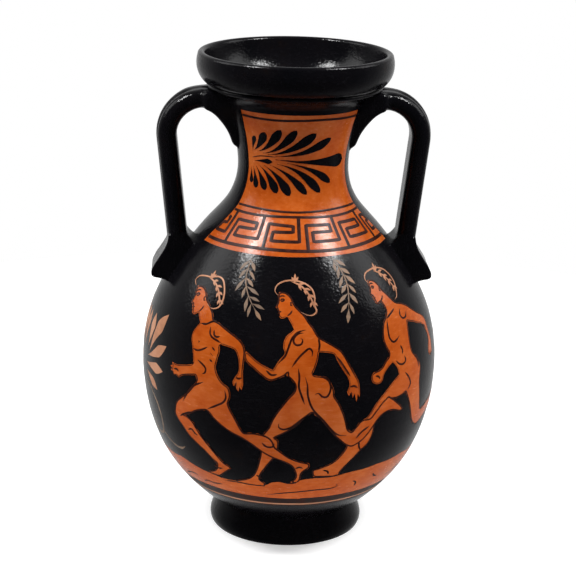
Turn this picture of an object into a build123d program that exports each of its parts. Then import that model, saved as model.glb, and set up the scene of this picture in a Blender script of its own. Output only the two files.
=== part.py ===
"""A two-handled belly amphora in fired clay, built as a potter builds it.

The foot ring, belly, neck and mouth are thrown as separate sections and luted together
on stepped joints. Two ribbed strap handles bridge from under the mouth to the shoulder,
each pressed onto the wall with a tail at the neck and a blunt heel on the belly.

Units are millimetres. +Z is up, the origin is the centre of the foot's resting plane,
the handles stand at -X and +X, and the painted front faces -Y.
"""

import math
import os

from build123d import *

# Heights of the main features
TOTAL_HEIGHT = 240.0
FOOT_HEIGHT = 12.5
NECK_JOINT_Z = 151.0
MOUTH_JOINT_Z = 217.5

# Outer radii
FOOT_RADIUS = 38.3
FOOT_TOP_RADIUS = 35.1
MOUTH_RADIUS = 47.5
LIP_UNDER_RADIUS = 43.4

# Clay thickness and the joints between the sections
WALL = 4.2
FLOOR = 6.0
BELLY_SAG = 4.0
JOINT_STEP = 2.5
FOOT_KEY_RADIUS = 31.5
FOOT_KEY_WIDTH = 3.0
FOOT_KEY_RISE = 1.4

# Handles
RIB_RADIUS = 4.6
RIB_PITCH = 5.4
MIDDLE_RIB_PROUD = 0.7
STRAP_TOP_Z = 217.8
ARCH_RADIUS = 18.0
ROOT_RADIUS = 20.0
TAIL_TOP_HALF_WIDTH = 12.0
TAIL_END_HALF_WIDTH = 6.0
HEEL_HALF_WIDTH = 12.6
HEEL_TOP_HALF_WIDTH = 9.6

# Larger than the whole vessel, for cutting
BIG = 400.0

# Outer line of the belly and neck, as (radius, height), from the foot joint up to the mouth joint
OUTER_LINE = [
    (35.2, FOOT_HEIGHT + 0.6),
    (50.0, 26.0),
    (63.0, 44.0),
    (71.4, 70.0),
    (72.6, 94.0),
    (66.2, 120.0),
    (54.8, 139.5),
    (40.4, 158.0),
    (31.3, 169.0),
    (27.0, 182.0),
    (27.9, 196.0),
    (31.0, 208.0),
    (34.2, MOUTH_JOINT_Z),
]

# Mouth outline: a bead under the bowl-shaped collar, then the rounded lip
BEAD = [(41.1, 222.9), (42.4, 223.6), (42.0, 224.8)]
COLLAR = [(LIP_UNDER_RADIUS, 225.4), (46.4, 229.4), (MOUTH_RADIUS, 234.4), (47.0, 238.2)]
LIP = [(47.0, 238.2), (45.2, TOTAL_HEIGHT), (43.4, 238.6)]


def revolved(wire_edges):
    """The solid of revolution about Z of a closed outline drawn as (radius, height).

    The outline stands at +Y, so that the surface's seam is at the back, clear of the handles.
    """
    outline = make_face(Plane.YZ * Wire(wire_edges))
    return revolve(outline, Axis.Z, 360)


def lathe(points):
    """The solid turned from a closed polygon of (radius, height) points."""
    return revolved(Polyline(*points, close=True).edges())


def wall_inside(points, thickness):
    """The inner line of a wall, each point moved by the thickness along the outline's normal."""
    inner = []
    for i, (r, z) in enumerate(points):
        before = points[max(i - 1, 0)]
        after = points[min(i + 1, len(points) - 1)]
        run, rise = after[0] - before[0], after[1] - before[1]
        length = math.hypot(run, rise)
        inner.append((r - thickness * rise / length, z + thickness * run / length))
    return inner


def outer_edges():
    """The outside from the foot joint up over the lip, as edges in the (radius, height) plane."""
    neck_top = OUTER_LINE[-1]
    return [
        Spline(*OUTER_LINE),
        Spline(neck_top, (36.6, 220.4), BEAD[0]),
        ThreePointArc(*BEAD),
        Line(BEAD[2], COLLAR[0]),
        Spline(*COLLAR),
        ThreePointArc(*LIP),
    ]


def filled_vessel():
    """The belly, neck and mouth as one plug with no hollow, which also trims the handles."""
    base = FOOT_HEIGHT - BELLY_SAG
    edges = outer_edges()
    edges += Polyline(LIP[2], (0, LIP[2][1]), (0, base)).edges()
    edges += [Spline((0, base), (22, base + 0.6), OUTER_LINE[0])]
    return revolved(edges)


def vessel_wall():
    """The belly, neck and mouth in one wall of even thickness, closed at the floor."""
    base = FOOT_HEIGHT - BELLY_SAG
    inner = wall_inside(OUTER_LINE, WALL)[1:-1]
    inside = [LIP[2], (42.4, 234.0), (39.2, 226.6), (33.6, 220.6)] + inner[::-1]
    inside += [(26, base + FLOOR + 2.6), (0, base + FLOOR)]
    edges = outer_edges() + [Spline(*inside)]
    edges += [Line((0, base + FLOOR), (0, base)), Spline((0, base), (22, base + 0.6), OUTER_LINE[0])]
    return revolved(edges)


def above_joint(z, mid_radius):
    """Everything above a stepped joint: the inner half of the wall runs a step lower."""
    return lathe(
        [
            (0, z - JOINT_STEP),
            (mid_radius, z - JOINT_STEP),
            (mid_radius, z),
            (BIG, z),
            (BIG, BIG),
            (0, BIG),
        ]
    )


def radius_at(z):
    """Outer radius of the belly and neck at a height, by straight steps along the outline."""
    for (r0, z0), (r1, z1) in zip(OUTER_LINE, OUTER_LINE[1:]):
        if z0 <= z <= z1:
            return r0 + (r1 - r0) * (z - z0) / (z1 - z0)
    raise ValueError(f"no outline at {z}")


def foot_ring():
    """A turned ring with a rounded toe and a hollow underside, drawn up past the belly's seat."""
    toe, inner_rest, inner_top = FOOT_RADIUS - 0.8, FOOT_RADIUS - 8.5, FOOT_RADIUS - 12.0
    seat, above_seat = FOOT_HEIGHT + 0.6, FOOT_HEIGHT + 3.5
    edges = [Line((inner_rest, 0), (toe, 0))]
    edges += [Spline((toe, 0), (FOOT_RADIUS, 2.2), (FOOT_RADIUS - 0.6, 6.5), (FOOT_TOP_RADIUS, seat))]
    edges += Polyline((FOOT_TOP_RADIUS, seat), (FOOT_TOP_RADIUS, above_seat), (inner_top, above_seat)).edges()
    edges += [Line((inner_top, above_seat), (inner_top, 6.0))]
    edges += [Spline((inner_top, 6.0), (inner_top + 0.9, 2.6), (inner_rest, 0))]
    return revolved(edges)


def foot_key():
    """The ridge on the foot ring that beds into a groove cut in the belly's underside."""
    inner, outer = FOOT_KEY_RADIUS - FOOT_KEY_WIDTH / 2, FOOT_KEY_RADIUS + FOOT_KEY_WIDTH / 2
    low, high = FOOT_HEIGHT / 2, FOOT_HEIGHT - 1.0 + FOOT_KEY_RISE
    return lathe([(inner, low), (outer, low), (outer, high), (inner, high)])


def strap_section():
    """The strap's cross-section: three fused ribs on the outer side, flat on the inner side."""
    section = Pos(-RIB_RADIUS / 2, 0) * Rectangle(RIB_RADIUS, 2 * RIB_PITCH)
    for i, proud in ((-1, 0.0), (0, MIDDLE_RIB_PROUD), (1, 0.0)):
        section += Pos(proud / 2, i * RIB_PITCH) * Circle(RIB_RADIUS + proud / 2)
    return section


def strap_path():
    """The handle's centre line in the XZ plane, from inside the neck wall to inside the shoulder."""
    inside_neck, root = (23.0, STRAP_TOP_Z - 9.0), (37.0, STRAP_TOP_Z)
    corner, inside_shoulder = (63.2, STRAP_TOP_Z), (54.1, 134.0)
    arch = FilletPolyline(inside_neck, root, corner, inside_shoulder, radius=[ROOT_RADIUS, ARCH_RADIUS])
    return Plane.XZ * arch


def tapered(side, flank):
    """An outline in the XZ plane thickened along Y, as wide at each height as the flank says.

    The flank is a list of (half width, height) from the bottom up.
    """
    web = extrude(make_face(Plane.XZ * side), BIG, both=True)
    corners = flank + [(-half_width, z) for half_width, z in reversed(flank)]
    return web & extrude(make_face(Plane.YZ * Polyline(*corners, close=True)), BIG)


def handle_tail():
    """The end of the strap pressed down the neck: a web under the arch that narrows downwards."""
    end, strap_underside = (29.9, 195.4), (43.6, STRAP_TOP_Z - RIB_RADIUS)
    side = Polyline(strap_underside, (strap_underside[0], 222.0), (24.0, 222.0), (24.0, 190.0), end).edges()
    side += [Spline(end, (32.2, 202.0), (35.8, 207.4), (39.2, 211.0), strap_underside)]
    return tapered(Wire(side), [(TAIL_END_HALF_WIDTH, 189), (TAIL_TOP_HALF_WIDTH, 213), (TAIL_TOP_HALF_WIDTH, 223)])


def handle_heel():
    """The blunt pad that widens downwards and is pressed onto the shoulder at the lower root."""
    top, toe, sole = (60.3, 151.0), (68.3, 133.7), (66.2, 129.7)
    side = [Spline(top, (61.2, 146.2), (64.2, 140.8), toe)]
    side += [ThreePointArc(toe, (68.4, 131.5), sole)]
    side += Polyline(sole, (50, 124), (46, 143), (52, 152), top).edges()
    return tapered(Wire(side), [(HEEL_HALF_WIDTH, 123), (HEEL_TOP_HALF_WIDTH, 153)])


def handle(plug):
    """The right-hand handle: ribbed strap, tail and heel in one piece, seated on the wall."""
    path = strap_path()
    start = path % 0
    section = Plane(path @ 0, x_dir=start.cross(Vector(0, 1, 0)), z_dir=start) * strap_section()
    strap = sweep(section, path) - plug
    return strap + (handle_tail() - plug) + (handle_heel() - plug)


def main():
    os.makedirs("parts", exist_ok=True)
    plug = filled_vessel()
    vessel = vessel_wall()
    above_neck_joint = above_joint(NECK_JOINT_Z, radius_at(NECK_JOINT_Z) - WALL * 0.75)
    above_mouth_joint = above_joint(MOUTH_JOINT_Z, radius_at(MOUTH_JOINT_Z - 1) - WALL * 0.5)
    right = handle(plug)
    nodes = {
        "foot_ring": foot_ring() - plug + (foot_key() & plug),
        "belly": vessel - above_neck_joint - foot_key(),
        "neck": (vessel & above_neck_joint) - above_mouth_joint,
        "mouth": vessel & above_mouth_joint,
        "handle_right": right,
        "handle_left": right.rotate(Axis.Z, 180),
    }
    for name, shape in nodes.items():
        export_step(shape, f"parts/{name}.step")


main()
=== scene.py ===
import math
import random

import bmesh
import bpy
import numpy as np
from mathutils import Euler, Matrix, Vector
from mathutils.geometry import delaunay_2d_cdt


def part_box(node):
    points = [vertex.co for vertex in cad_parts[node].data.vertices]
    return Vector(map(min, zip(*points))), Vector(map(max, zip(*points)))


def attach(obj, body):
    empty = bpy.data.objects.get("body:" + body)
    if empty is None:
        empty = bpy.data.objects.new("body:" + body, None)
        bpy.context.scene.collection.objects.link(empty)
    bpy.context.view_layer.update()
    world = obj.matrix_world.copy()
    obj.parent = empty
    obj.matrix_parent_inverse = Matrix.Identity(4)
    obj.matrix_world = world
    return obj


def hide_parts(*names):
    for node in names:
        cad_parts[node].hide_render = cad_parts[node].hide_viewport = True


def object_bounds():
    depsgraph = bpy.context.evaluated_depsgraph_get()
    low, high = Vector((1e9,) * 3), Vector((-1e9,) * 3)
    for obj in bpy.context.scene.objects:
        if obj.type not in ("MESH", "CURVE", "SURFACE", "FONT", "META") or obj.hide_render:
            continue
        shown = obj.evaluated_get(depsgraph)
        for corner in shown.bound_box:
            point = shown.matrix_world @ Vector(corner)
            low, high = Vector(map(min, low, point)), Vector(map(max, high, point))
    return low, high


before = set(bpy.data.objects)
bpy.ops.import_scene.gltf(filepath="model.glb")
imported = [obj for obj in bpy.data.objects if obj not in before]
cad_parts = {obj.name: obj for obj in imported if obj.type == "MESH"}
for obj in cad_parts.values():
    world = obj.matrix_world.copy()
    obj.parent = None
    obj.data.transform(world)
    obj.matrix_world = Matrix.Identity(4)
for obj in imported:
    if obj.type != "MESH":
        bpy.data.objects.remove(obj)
cad_box = [list(corner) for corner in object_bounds()]

# A red-figure amphora: the thrown clay sections come from the frame's own outlines, and every
# painted piece is a thin closed shell of slip laid on the wall.
#
# Paint is placed on the unrolled wall in millimetres: across is the azimuth times
# UNROLL_RADIUS, growing to the right from 0 at the middle of the painted front to BACK at the
# middle of the back, and along is the length up the outer line, with the foot joint at
# FOOT_JOINT_ALONG.

MM = 0.001
UNROLL_RADIUS = 72.0
FULL_TURN = 2 * math.pi * UNROLL_RADIUS
BACK = FULL_TURN / 2
FRONT_TURN = math.radians(4.3)
FOOT_JOINT_ALONG = 0.4

# Meshes: columns round a full ring and across a part of one, and the gap between stations.
# Rows of a triangle mesh rise by this share of their gap.
RING = 240
BAND_COLUMNS = 60
STATION_GAP = 1.4
ROW_RISE = 0.866
CORNER_ANGLE = math.radians(25)

# Handles: faces that touch the wall are sunk into it, and the whole is remeshed at HANDLE_GRAIN.
# A step in and a step out even the mesh without shrinking it, and steps in alone smooth the
# roots, within reach of the wall at the tail (above TAIL_END) and at the heel.
ROOT_TOUCH = 0.25
ROOT_DEPTH = 1.4
HANDLE_GRAIN = 0.55
STEP_IN = 0.5
STEP_OUT = -0.53
EVEN_PASSES = 25
ROOT_PASSES = 40
TAIL_END = 185.0
TAIL_REACH = 18.0
HEEL_REACH = 9.0
REACH_FADE = 0.6
AT_WALL = 0.3

# Lifts above the bare wall, in millimetres; RELIEF is how far a drawn line's crown stands over
# its edges and over the figure under it
BURIED = -0.05
COAT = 0.06
GROUND = 0.10
RUNNERS = {"right": 0.14, "middle": 0.20, "left": 0.26}
RELIEF = 0.035
UNDERPAINT = COAT + 0.02
NECK_PAINT = COAT + 0.03
OVERPAINT = COAT + 0.04
LEAF_PAINT = COAT + 0.05
GROUND_LINES = GROUND + 0.03

# Widths of the drawn lines
LINE = 1.0
FINE_LINE = 0.8
HAIR_LINE = 0.75

# Heights of the bands on the unrolled wall
COAT_TOP = 157.6
MEANDER_LINES = [160.7, 178.1, 181.0]
NECK_LINE = 226.4
PANEL_TOP = 229.2
GROUND_BOTTOM = 29.5
PALE_LINE = 23.7


def smooth_step(x):
    x = np.clip(x, 0.0, 1.0)
    return x * x * (3 - 2 * x)


# ---------------------------------------------------------------- outlines of the thrown clay


def unevenness(azimuth, z):
    """How far hand throwing leaves the wall from true, in millimetres, at a height in millimetres."""
    drift = 0.13 * np.sin(2 * azimuth + 0.7) + 0.07 * np.sin(3 * azimuth - z / 31)
    rings = 0.016 * np.sin(z / 1.35 + 0.9 * np.sin(azimuth)) + 0.02 * np.sin(z / 2.9 + azimuth)
    return (drift + rings) * smooth_step(z / 20)


def node_outline(node):
    """The closed section of a turned CAD node, as (radius, height) in millimetres, from its seam."""
    bm = bmesh.new()
    bm.from_mesh(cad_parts[node].data)
    bmesh.ops.remove_doubles(bm, verts=bm.verts, dist=1e-6)
    seam = {v for v in bm.verts if abs(v.co.x) < 2e-6 and v.co.y > -1e-9}
    links = {v: [e.other_vert(v) for e in v.link_edges if e.other_vert(v) in seam] for v in seam}
    ends = sorted((v for v in seam if len(links[v]) == 1), key=lambda v: v.co.z)
    here = ends[0] if ends else min(seam, key=lambda v: (v.co.z, v.co.y))
    before, chain = None, []
    while here is not None and (not chain or here is not chain[0]):
        chain.append(here)
        ahead = [v for v in links[here] if v is not before]
        before, here = here, (ahead[0] if ahead else None)
    points = np.array([(v.co.y, v.co.z) for v in chain]) / MM
    bm.free()
    return points, not ends


def between(a, b, start, end, t):
    """a where t is at the start and b where it is at the end, in proportion between and past them."""
    return (end - t) / (end - start) * a + (t - start) / (end - start) * b


def through(points, gap, closed=False):
    """Points at about the given gap along a smooth curve through the given ones."""
    points = np.asarray(points, float)
    count = len(points)
    if count < 3:
        steps = max(1, int(np.hypot(*(points[-1] - points[0])) / gap))
        return points[0] + np.outer(np.linspace(0, 1, steps + 1), points[-1] - points[0])
    if closed:
        padded = np.vstack([points[-1], points, points[:2]])
    else:
        padded = np.vstack([2 * points[0] - points[1], points, 2 * points[-1] - points[-2]])
    out = []
    for i in range(count if closed else count - 1):
        near, knots = padded[i : i + 4], [0.0]
        lengths = [np.hypot(*(b - a)) for a, b in zip(near, near[1:])]
        for length in lengths:
            knots.append(knots[-1] + max(length, 1e-6) ** 0.5)
        steps = max(1, int(round(lengths[1] / gap)))
        t = (knots[1] + (knots[2] - knots[1]) * np.arange(steps) / steps)[:, None]
        pairs = [between(near[k], near[k + 1], knots[k], knots[k + 1], t) for k in range(3)]
        threes = [between(pairs[k], pairs[k + 1], knots[k], knots[k + 2], t) for k in range(2)]
        out.append(between(*threes, knots[1], knots[2], t))
    if not closed:
        out.append(points[-1:])
    return np.vstack(out)


def corners_of(points, closed, angle):
    """Indices where an outline turns by more than the angle."""
    count = len(points)
    found = []
    for i in range(count):
        if not closed and i in (0, count - 1):
            found.append(i)
            continue
        a, b = points[i] - points[i - 1], points[(i + 1) % count] - points[i]
        turn = math.atan2(a[0] * b[1] - a[1] * b[0], a @ b)
        if abs(turn) > angle:
            found.append(i)
    return found


def refined(points, gap, closed, angle):
    """The outline smoothed between its corners, which stay sharp."""
    points = np.asarray(points, float)
    corners = corners_of(points, closed, angle)
    if closed and not corners:
        return through(points, gap, closed=True)
    runs = list(zip(corners, corners[1:]))
    if closed:
        runs.append((corners[-1], corners[0] + len(points)))
    out = []
    for first, last in runs:
        stretch = points[[k % len(points) for k in range(first, last + 1)]]
        out.append(through(stretch, gap)[:-1])
    if not closed:
        out.append(points[-1:])
    return np.vstack(out)


SECTIONS = {node: node_outline(node) for node in ("foot_ring", "belly", "neck", "mouth")}


def outer_line():
    """Radius and height of the outside by length up it, in millimetres, from the foot joint."""
    points = np.vstack([SECTIONS[node][0] for node in ("belly", "neck", "mouth")])
    start = SECTIONS["foot_ring"][0][:, 1].max() - 0.01
    heights = np.unique(np.round(points[points[:, 1] >= start, 1], 3))
    radii = []
    for z in heights:
        widest = 0.0
        for node in ("belly", "neck", "mouth"):
            section, closed = SECTIONS[node]
            ahead = np.roll(section, -1, axis=0) if closed else section[1:]
            low, high = section[: len(ahead)], ahead
            crosses = (np.minimum(low[:, 1], high[:, 1]) <= z) & (np.maximum(low[:, 1], high[:, 1]) >= z)
            for a, b in zip(low[crosses], high[crosses]):
                share = 0.5 if a[1] == b[1] else (z - a[1]) / (b[1] - a[1])
                widest = max(widest, a[0] + (b[0] - a[0]) * share)
        radii.append(widest)
    line = np.column_stack([radii, heights])
    keep = np.concatenate([[True], np.hypot(*np.diff(line, axis=0).T) > 0.4])
    line = through(line[keep], 0.5)
    along = np.concatenate([[0], np.cumsum(np.hypot(*np.diff(line, axis=0).T))])
    return along + FOOT_JOINT_ALONG, line


ALONG, OUTER = outer_line()
SLOPE = np.gradient(OUTER, ALONG, axis=0)
SLOPE /= np.hypot(*SLOPE.T)[:, None]


def radius_at(along):
    return np.interp(along, ALONG, OUTER[:, 0])


def wall_points(across, along, lift):
    """Places on the wall, in metres, lifted off it by that many millimetres."""
    across, along = np.broadcast_arrays(np.asarray(across, float), np.asarray(along, float))
    azimuth = across / UNROLL_RADIUS + FRONT_TURN
    radius, height = radius_at(along), np.interp(along, ALONG, OUTER[:, 1])
    out_r, out_z = np.interp(along, ALONG, SLOPE[:, 1]), -np.interp(along, ALONG, SLOPE[:, 0])
    radius = radius + unevenness(azimuth, height) + lift * out_r
    height = height + lift * out_z
    return MM * np.column_stack([radius * np.sin(azimuth), -radius * np.cos(azimuth), height])


def sideways(points, run):
    """One real millimetre to the left of a line, in (across, along), from its places and its run."""
    scale = radius_at(points[:, 1]) / UNROLL_RADIUS
    real = np.column_stack([run[:, 0] * scale, run[:, 1]])
    real /= np.maximum(np.hypot(*real.T), 1e-9)[:, None]
    return np.column_stack([-real[:, 1] / scale, real[:, 0]])


def heading_at(path, index):
    """The real direction on the wall in which a line runs at one of its points."""
    here, ahead = path[index], path[index + 1]
    scale = radius_at(here[1]) / UNROLL_RADIUS
    return math.atan2(ahead[1] - here[1], (ahead[0] - here[0]) * scale)


def about(points, centre):
    """Points given in real millimetres about (0, 0), placed on the wall about a centre."""
    scale = radius_at(centre[1]) / UNROLL_RADIUS
    return [(centre[0] + x / scale, centre[1] + y) for x, y in points]


# ---------------------------------------------------------------- pieces


def new_piece(name, shells, material, sharp=35):
    """A mesh object riding on the vase, from (vertices, faces) shells, facing out and shaded smooth."""
    vertices, faces = [], []
    for shell_vertices, shell_faces in shells:
        base = len(vertices)
        vertices += [tuple(v) for v in shell_vertices]
        faces += [tuple(base + int(i) for i in face) for face in shell_faces]
    mesh = bpy.data.meshes.new(name)
    mesh.from_pydata(vertices, [], faces)
    bm = bmesh.new()
    bm.from_mesh(mesh)
    bmesh.ops.recalc_face_normals(bm, faces=bm.faces)
    bm.to_mesh(mesh)
    bm.free()
    mesh.shade_smooth()
    mesh.set_sharp_from_angle(angle=math.radians(sharp))
    mesh.materials.append(material)
    piece = bpy.data.objects.new(name, mesh)
    bpy.context.scene.collection.objects.link(piece)
    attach(piece, "root")
    return piece


def turned(name, node, material):
    """The node's section turned again in a finer mesh, with the marks of hand throwing."""
    section, closed = SECTIONS[node]
    outline = refined(section, STATION_GAP, closed, CORNER_ANGLE)
    azimuths = 2 * math.pi * np.arange(RING) / RING
    vertices, rings = [], []
    for radius, z in outline:
        if radius < 0.01:
            rings.append([len(vertices)])
            vertices.append((0, 0, z * MM))
            continue
        rings.append(list(range(len(vertices), len(vertices) + RING)))
        grown = (radius + unevenness(azimuths, z) * min(1, radius / 20)) * MM
        heights = np.full(RING, z * MM)
        vertices.extend(np.column_stack([grown * np.sin(azimuths), -grown * np.cos(azimuths), heights]))
    faces = []
    for low, high in zip(rings, rings[1:] + (rings[:1] if closed else [])):
        for k in range(RING):
            ahead = (k + 1) % RING
            if len(low) == 1:
                faces.append((low[0], high[ahead], high[k]))
            elif len(high) == 1:
                faces.append((low[k], low[ahead], high[0]))
            else:
                faces.append((low[k], low[ahead], high[ahead], high[k]))
    piece = new_piece(name, [(vertices, faces)], material)
    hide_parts(node)
    return piece


def two_faces(flat, lift):
    """Vertices over (across, along) places, first lifted off the wall and then buried in it."""
    return np.vstack([wall_points(flat[:, 0], flat[:, 1], height) for height in (lift, BURIED)])


def band_shell(grid, lift, around):
    """Vertices and faces of a closed shell over a grid of (across, along), rows running across."""
    rows, columns = grid.shape[:2]
    vertices = two_faces(grid.reshape(-1, 2), lift)
    under = rows * columns
    faces = []

    def at(row, column):
        return row * columns + column % columns

    for row in range(rows - 1):
        for column in range(columns if around else columns - 1):
            a, b = at(row, column), at(row, column + 1)
            c, d = at(row + 1, column + 1), at(row + 1, column)
            faces += [(a, b, c, d), (under + d, under + c, under + b, under + a)]
            if row == 0:
                faces.append((a, under + a, under + b, b))
            if row == rows - 2:
                faces.append((d, c, under + c, under + d))
        if not around:
            for column, flip in ((0, 1), (columns - 1, 0)):
                a, d = at(row, column), at(row + 1, column)
                side = (a, d, under + d, under + a)
                faces.append(side[::-1] if flip else side)
    return vertices, faces


def painted_band(name, lower, upper, lift, material, left=None, right=None, gap=STATION_GAP):
    """A band of slip between two heights, all round or between a left and a right edge.

    lower and upper are functions of across, and left and right are functions of along.
    """
    around = left is None
    columns = RING if around else BAND_COLUMNS
    middle = np.mean([lower(0.0), upper(0.0)])
    rows = max(3, int(abs(upper(0.0) - lower(0.0)) / gap)) + 1
    grid = np.zeros((rows, columns, 2))
    for column in range(columns):
        share = column / (columns if around else columns - 1)
        across = FULL_TURN * share if around else left(middle) + (right(middle) - left(middle)) * share
        along = np.linspace(lower(across), upper(across), rows)
        grid[:, column, 1] = along
        grid[:, column, 0] = across if around else left(along) + (right(along) - left(along)) * share
    new_piece(name, [band_shell(grid, lift, around)], material)


def inside(points, outline):
    """Which points lie inside a closed outline."""
    x, y = points[:, 0][:, None], points[:, 1][:, None]
    a, b = outline, np.roll(outline, -1, axis=0)
    spans = (a[:, 1] > y) != (b[:, 1] > y)
    rise = np.where(b[:, 1] == a[:, 1], 1e-12, b[:, 1] - a[:, 1])
    crossing = a[:, 0] + (y - a[:, 1]) * (b[:, 0] - a[:, 0]) / rise
    return (spans & (x < crossing)).sum(axis=1) % 2 == 1


def filling(outline, gap):
    """Triangles that fill an outline, with inner points in a staggered grid at the given gap."""
    low, high = outline.min(0), outline.max(0)
    rows, columns = np.arange(low[1], high[1], gap * ROW_RISE), np.arange(low[0], high[0], gap)
    grid = [(x + (k % 2) * gap / 2, y) for k, y in enumerate(rows) for x in columns]
    grid = np.array(grid).reshape(-1, 2)
    if len(grid):
        clear = np.hypot(*(grid[:, None] - outline[None]).transpose(2, 0, 1)).min(1) > gap * 0.45
        grid = grid[inside(grid, outline) & clear]
    coords = [Vector(p) for p in np.vstack([outline, grid])]
    found = delaunay_2d_cdt(coords, [], [list(range(len(outline)))], 1, 1e-5)
    return np.array([tuple(v) for v in found[0]]), [list(face) for face in found[2]]


def shell_over(flat, triangles, lift):
    """A closed shell on the wall over flat triangles in (across, along)."""
    count = len(flat)
    edges = {}
    for face in triangles:
        for a, b in zip(face, face[1:] + face[:1]):
            edges.setdefault((min(a, b), max(a, b)), []).append((a, b))
    faces = triangles + [[count + i for i in reversed(face)] for face in triangles]
    for uses in edges.values():
        if len(uses) == 1:
            a, b = uses[0]
            faces.append([b, a, count + a, count + b])
    return two_faces(flat, lift), faces


def painted(name, outlines, lift, material, gap=2.4):
    """One piece of slip that fills the outlines, each a closed list of (across, along)."""
    shells = [shell_over(*filling(np.asarray(outline, float), gap), lift) for outline in outlines]
    new_piece(name, shells, material)


def ribbon(points, width, lift, tapered, closed):
    """A raised line of slip: a low crowned strip along points, of that real width."""
    count = len(points)
    if closed:
        run = np.roll(points, -1, axis=0) - np.roll(points, 1, axis=0)
    else:
        run = np.gradient(points, axis=0)
    side = sideways(points, run)
    half = np.full(count, width / 2)
    if tapered and not closed:
        share = np.linspace(0, 1, count)
        half *= 0.25 + 0.75 * smooth_step(np.minimum(share, 1 - share) * 5)
    edge = lift - RELIEF
    rails = [(-1.0, BURIED), (-1.0, edge), (-0.45, lift), (0.45, lift), (1.0, edge), (1.0, BURIED)]
    vertices = []
    for offset, height in rails:
        place = points + side * (half * offset)[:, None]
        vertices.append(wall_points(place[:, 0], place[:, 1], height))
    total = len(rails)
    faces = []
    for k in range(count if closed else count - 1):
        ahead = (k + 1) % count
        for rail in range(total):
            other = (rail + 1) % total
            faces.append([rail * count + k, rail * count + ahead, other * count + ahead, other * count + k])
    if not closed:
        faces.append([rail * count for rail in range(total)])
        faces.append([rail * count + count - 1 for rail in reversed(range(total))])
    return np.vstack(vertices), faces


def painted_lines(name, lines, width, lift, material, tapered=True, closed=False, smooth=True):
    """One piece holding raised lines of slip, each through a list of (across, along).

    The width is one number, or a list with one for each line.
    """
    widths = width if isinstance(width, list) else [width] * len(lines)
    shells = []
    for line, line_width in zip(lines, widths):
        path = through(line, 1.0, closed) if smooth else refined(line, 1.0, closed, math.radians(30))
        shells.append(ribbon(path, line_width, lift, tapered, closed))
    new_piece(name, shells, material, sharp=50)


# ---------------------------------------------------------------- materials


# Radius of the circle on which noise is read so that brush marks follow the wheel, in metres
WHEEL_RADIUS = 0.02
# Orange-peel texture left in the slip by the brush: noise scale, and depth in metres
PEEL_SCALE = 850
PEEL_DEPTH = 0.0002
GLOSS_SPECULAR = 0.12
CLAY_SPECULAR = 0.19


def node_material(name):
    material = bpy.data.materials.new(name)
    material.use_nodes = True
    tree = material.node_tree
    return material, tree, tree.nodes["Principled BSDF"]


def feed(tree, value, socket):
    """Gives a socket a number, a colour or another node's output."""
    if isinstance(value, (int, float)):
        socket.default_value = value
    elif isinstance(value, tuple):
        socket.default_value = (*value, 1.0)
    else:
        tree.links.new(value, socket)


def object_place(tree):
    return tree.nodes.new("ShaderNodeTexCoord").outputs["Object"]


def parts_of(tree, vector):
    """The x, y and z of a vector."""
    node = tree.nodes.new("ShaderNodeSeparateXYZ")
    tree.links.new(vector, node.inputs[0])
    return node.outputs


def noise(tree, vector, scale, detail, roughness):
    node = tree.nodes.new("ShaderNodeTexNoise")
    node.inputs["Scale"].default_value = scale
    node.inputs["Detail"].default_value = detail
    node.inputs["Roughness"].default_value = roughness
    tree.links.new(vector, node.inputs["Vector"])
    return node.outputs["Fac"]


def ramp(tree, value, *stops):
    """A colour by value, from stops of (place, colour)."""
    node = tree.nodes.new("ShaderNodeValToRGB")
    tree.links.new(value, node.inputs["Fac"])
    elements = node.color_ramp.elements
    while len(elements) < len(stops):
        elements.new(0.5)
    for element, (place, colour) in zip(elements, stops):
        element.position = place
        element.color = (*colour, 1.0)
    return node.outputs["Color"]


def grey_ramp(tree, value, *stops):
    """A grey by value, from stops of (place, grey)."""
    return ramp(tree, value, *((place, (grey, grey, grey)) for place, grey in stops))


def calculate(tree, operation, *values):
    node = tree.nodes.new("ShaderNodeMath")
    node.operation = operation
    for socket, value in zip(node.inputs, values):
        feed(tree, value, socket)
    return node.outputs[0]


def weighed(tree, first, weight, second, other_weight):
    """The sum of two values, each times its weight."""
    parts = [calculate(tree, "MULTIPLY", *pair) for pair in ((first, weight), (second, other_weight))]
    return calculate(tree, "ADD", *parts)


def blended(tree, share, first, second):
    node = tree.nodes.new("ShaderNodeMix")
    node.data_type = "RGBA"
    for index, value in ((0, share), (6, first), (7, second)):
        feed(tree, value, node.inputs[index])
    return node.outputs[2]


def wheel_coordinates(tree):
    """The place on the object, and a place for noise that is drawn out round the wheel."""
    place = object_place(tree)
    x, y, z = parts_of(tree, place)
    azimuth = calculate(tree, "ARCTAN2", y, x)
    join = tree.nodes.new("ShaderNodeCombineXYZ")
    for socket, function in zip(join.inputs, ("COSINE", "SINE")):
        feed(tree, calculate(tree, "MULTIPLY", calculate(tree, function, azimuth), WHEEL_RADIUS), socket)
    tree.links.new(z, join.inputs[2])
    return place, join.outputs[0]


def coated(tree, shader, colour, roughness, specular):
    """Gives a shader its colour, roughness and shine."""
    tree.links.new(colour, shader.inputs["Base Color"])
    tree.links.new(roughness, shader.inputs["Roughness"])
    shader.inputs["Specular IOR Level"].default_value = specular


def bumped(tree, shader, height, strength):
    node = tree.nodes.new("ShaderNodeBump")
    node.inputs["Strength"].default_value = strength
    node.inputs["Distance"].default_value = PEEL_DEPTH
    tree.links.new(height, node.inputs["Height"])
    tree.links.new(node.outputs["Normal"], shader.inputs["Normal"])


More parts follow.
